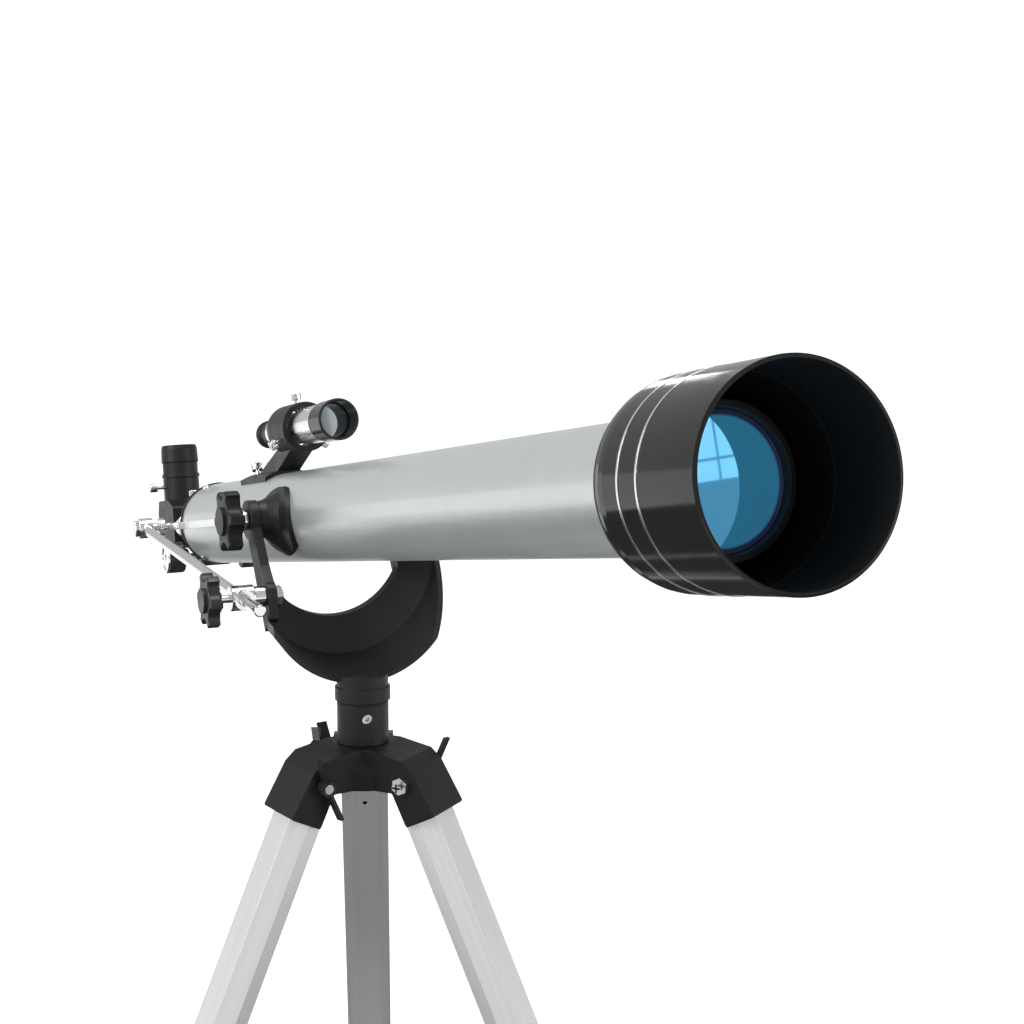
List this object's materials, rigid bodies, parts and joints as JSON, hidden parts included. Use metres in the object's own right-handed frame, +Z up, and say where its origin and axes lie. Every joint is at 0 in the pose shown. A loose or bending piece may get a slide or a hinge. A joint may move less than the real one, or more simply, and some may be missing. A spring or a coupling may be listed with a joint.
{
  "type": "refracting telescope on tripod",
  "caption": "Long silver refracting telescope with a wide black hood on a U-shaped yoke with slow-motion rod, standing on a three-leg aluminium tripod with a tray.",
  "frame": {"origin": "on the floor under the azimuth axis", "axes": "+Z up, +X the way the objective points, Y along the altitude axis, -Y the side with the slow-motion rod"},
  "size_m": [1.055, 0.9499, 1.4557],
  "materials": {
    "tube_silver": "satin silver-grey paint",
    "gloss_black": "glossy moulded black",
    "satin_black": "satin moulded black",
    "cast_black": "satin black paint on a casting",
    "flat_black": "flat black anti-reflection paint",
    "chrome": "bright chrome",
    "bright_band": "polished",
    "leg_aluminium": "fine brushed anodised",
    "steel": "zinc plated",
    "lens_glass": "blue anti-reflection coating",
    "clear_glass": "clear",
    "mirror": "polished",
    "rubber": "matt black rubber"
  },
  "bodies": {
    "tripod_head": {"tripod_head": "satin_black", "hinge_bolts": "steel", "wing_nuts": "cast_black"},
    "azimuth_lock": {"azimuth_lock_screw": "cast_black"},
    "yoke": {"yoke": "cast_black", "neck_screw": "steel"},
    "optical_tube": {"main_tube": "tube_silver", "objective_cell": "satin_black", "objective_lenses": "lens_glass", "lens_retaining_ring": "gloss_black", "dew_shield": "gloss_black", "dew_shield_rings": "bright_band", "tube_baffles": "flat_black", "focuser_housing": "satin_black", "focuser_screws": "steel", "finder_bracket": "satin_black", "finder_body": "bright_band", "finder_front_cell": "gloss_black", "finder_eyepiece": "satin_black", "finder_lenses": "clear_glass", "finder_screws": "chrome", "saddle_plates": "cast_black", "altitude_bolts": "steel", "altitude_lever": "chrome"},
    "near_knob": {"altitude_knob_near": "satin_black"},
    "far_knob": {"altitude_knob_far": "satin_black"},
    "clamp": {"rod_clamp": "chrome"},
    "control_rod": {"slow_motion_rod": "chrome"},
    "clamp_screw": {"clamp_knob": "satin_black"},
    "focus_pinion": {"pinion_shaft": "steel", "focus_knobs": "satin_black"},
    "focus_tube": {"drawtube": "chrome", "drawtube_rack": "steel"},
    "drawtube_screw": {"drawtube_set_screw": "chrome"},
    "diagonal": {"diagonal_housing": "satin_black", "diagonal_mirror": "mirror"},
    "diagonal_screw": {"diagonal_set_screw": "chrome"},
    "eyepiece": {"eyepiece_body": "satin_black", "eyepiece_lenses": "clear_glass"},
    "spreader": {"spider": "satin_black", "accessory_tray": "satin_black", "tray_bolt": "satin_black"},
    "leg_1": {"leg_1_outer": "leg_aluminium", "leg_1_collar": "satin_black"},
    "leg_1_lower": {"leg_1_inner": "leg_aluminium", "leg_1_foot": "rubber"},
    "leg_1_knob": {"leg_1_lock_knob": "satin_black"},
    "leg_1_strut": {"leg_1_brace": "steel"},
    "leg_2": {"leg_2_outer": "leg_aluminium", "leg_2_collar": "satin_black"},
    "leg_2_lower": {"leg_2_inner": "leg_aluminium", "leg_2_foot": "rubber"},
    "leg_2_knob": {"leg_2_lock_knob": "satin_black"},
    "leg_2_strut": {"leg_2_brace": "steel"},
    "leg_3": {"leg_3_outer": "leg_aluminium", "leg_3_collar": "satin_black"},
    "leg_3_lower": {"leg_3_inner": "leg_aluminium", "leg_3_foot": "rubber"},
    "leg_3_knob": {"leg_3_lock_knob": "satin_black"},
    "leg_3_strut": {"leg_3_brace": "steel"}
  },
  "joints": [
    {"name": "azimuth_turn", "type": "hinge", "parent": "tripod_head", "child": "yoke", "pos_m": [0, 0, 1.179], "axis": [0, 0, 1], "continuous": true},
    {"name": "azimuth_lock_turn", "type": "hinge", "parent": "tripod_head", "child": "azimuth_lock", "pos_m": [0, 0, 1.17], "axis": [-0.766, -0.6428, 0], "range_deg": [0, 720]},
    {"name": "altitude_tilt", "type": "hinge", "parent": "yoke", "child": "optical_tube", "pos_m": [-0.08, 0, 1.31], "axis": [0, -1, 0], "range_deg": [-15, 50]},
    {"name": "near_knob_turn", "type": "hinge", "parent": "optical_tube", "child": "near_knob", "pos_m": [-0.08, -0.06, 1.31], "axis": [0, -1, 0], "range_deg": [0, 720]},
    {"name": "far_knob_turn", "type": "hinge", "parent": "optical_tube", "child": "far_knob", "pos_m": [-0.08, 0.06, 1.31], "axis": [0, 1, 0], "range_deg": [0, 720]},
    {"name": "clamp_swivel", "type": "hinge", "parent": "yoke", "child": "clamp", "pos_m": [-0.044, -0.064, 1.267], "axis": [0, -1, 0], "range_deg": [-16, 48]},
    {"name": "rod_slide", "type": "slide", "parent": "clamp", "child": "control_rod", "axis": [0.9999, 0, -0.0154], "range_m": [-0.0148, 0.0448]},
    {"name": "clamp_knob_turn", "type": "hinge", "parent": "clamp", "child": "clamp_screw", "pos_m": [-0.044, -0.064, 1.267], "axis": [0, -1, 0], "range_deg": [0, 720]},
    {"name": "focus_travel", "type": "slide", "parent": "optical_tube", "child": "focus_tube", "axis": [-0.9854, 0, -0.1702], "range_m": [-0.018, 0.058]},
    {"name": "focus_knob_turn", "type": "hinge", "parent": "optical_tube", "child": "focus_pinion", "pos_m": [-0.35577, 0, 1.23801], "axis": [0, 1, 0], "range_deg": [-600, 600]},
    {"name": "drawtube_screw_turn", "type": "hinge", "parent": "focus_tube", "child": "drawtube_screw", "pos_m": [-0.40662, 0, 1.27388], "axis": [-0.1702, 0, 0.9854], "range_deg": [0, 720]},
    {"name": "diagonal_turn", "type": "hinge", "parent": "focus_tube", "child": "diagonal", "pos_m": [-0.41997, 0, 1.25128], "axis": [0.9854, 0, 0.1702], "continuous": true},
    {"name": "diagonal_screw_turn", "type": "hinge", "parent": "diagonal", "child": "diagonal_screw", "pos_m": [-0.44628, -0.018, 1.28022], "axis": [0, -1, 0], "range_deg": [0, 720]},
    {"name": "eyepiece_slide", "type": "slide", "parent": "diagonal", "child": "eyepiece", "axis": [-0.1702, 0, 0.9854], "range_m": [0, 0.03]},
    {"name": "spreader_slide", "type": "slide", "parent": "tripod_head", "child": "spreader", "axis": [0, 0, 1], "range_m": [0, 0.0619]},
    {"name": "leg_1_fold", "type": "hinge", "parent": "tripod_head", "child": "leg_1", "pos_m": [-0.03571, 0.013, 1.16], "axis": [-0.342, -0.9397, 0], "range_deg": [0, 17.4]},
    {"name": "leg_1_extend", "type": "slide", "parent": "leg_1", "child": "leg_1_lower", "axis": [-0.3882, 0.1413, -0.9107], "range_m": [-0.5, 0]},
    {"name": "leg_1_lock_turn", "type": "hinge", "parent": "leg_1", "child": "leg_1_knob", "pos_m": [-0.3036, 0.1105, 0.57996], "axis": [-0.8558, 0.3115, 0.4131], "range_deg": [0, 720]},
    {"name": "leg_1_strut_turn", "type": "hinge", "parent": "leg_1", "child": "leg_1_strut", "pos_m": [-0.14755, 0.05371, 0.85162], "axis": [-0.342, -0.9397, 0], "range_deg": [0, 42]},
    {"name": "leg_2_fold", "type": "hinge", "parent": "tripod_head", "child": "leg_2", "pos_m": [0.0066, -0.03742, 1.16], "axis": [0.9848, 0.1736, 0], "range_deg": [0, 17.4]},
    {"name": "leg_2_extend", "type": "slide", "parent": "leg_2", "child": "leg_2_lower", "axis": [0.0717, -0.4068, -0.9107], "range_m": [-0.5, 0]},
    {"name": "leg_2_lock_turn", "type": "hinge", "parent": "leg_2", "child": "leg_2_knob", "pos_m": [0.0561, -0.31817, 0.57996], "axis": [0.1581, -0.8968, 0.4131], "range_deg": [0, 720]},
    {"name": "leg_2_strut_turn", "type": "hinge", "parent": "leg_2", "child": "leg_2_strut", "pos_m": [0.02727, -0.15464, 0.85162], "axis": [0.9848, 0.1736, 0], "range_deg": [0, 42]},
    {"name": "leg_3_fold", "type": "hinge", "parent": "tripod_head", "child": "leg_3", "pos_m": [0.02911, 0.02443, 1.16], "axis": [-0.6428, 0.766, 0], "range_deg": [0, 17.4]},
    {"name": "leg_3_extend", "type": "slide", "parent": "leg_3", "child": "leg_3_lower", "axis": [0.3165, 0.2655, -0.9107], "range_m": [-0.5, 0]},
    {"name": "leg_3_lock_turn", "type": "hinge", "parent": "leg_3", "child": "leg_3_knob", "pos_m": [0.24749, 0.20767, 0.57996], "axis": [0.6976, 0.5854, 0.4131], "range_deg": [0, 720]},
    {"name": "leg_3_strut_turn", "type": "hinge", "parent": "leg_3", "child": "leg_3_strut", "pos_m": [0.12029, 0.10093, 0.85162], "axis": [-0.6428, 0.766, 0], "range_deg": [0, 42]}
  ],
  "couplings": [
    {"joint": "clamp_swivel", "follows": "altitude_tilt", "ratio": 0.90719},
    {"joint": "rod_slide", "follows": "altitude_tilt", "m_per_rad": 0.049043},
    {"joint": "focus_knob_turn", "follows": "focus_travel", "rad_per_m": -166.67},
    {"joint": "spreader_slide", "follows": "leg_1_fold", "m_per_rad": 0.19709},
    {"joint": "leg_1_strut_turn", "follows": "leg_1_fold", "ratio": 2.3083},
    {"joint": "leg_2_strut_turn", "follows": "leg_1_fold", "ratio": 2.3083},
    {"joint": "leg_2_fold", "follows": "leg_1_fold", "ratio": 1},
    {"joint": "leg_3_strut_turn", "follows": "leg_1_fold", "ratio": 2.3083},
    {"joint": "leg_3_fold", "follows": "leg_1_fold", "ratio": 1}
  ]
}
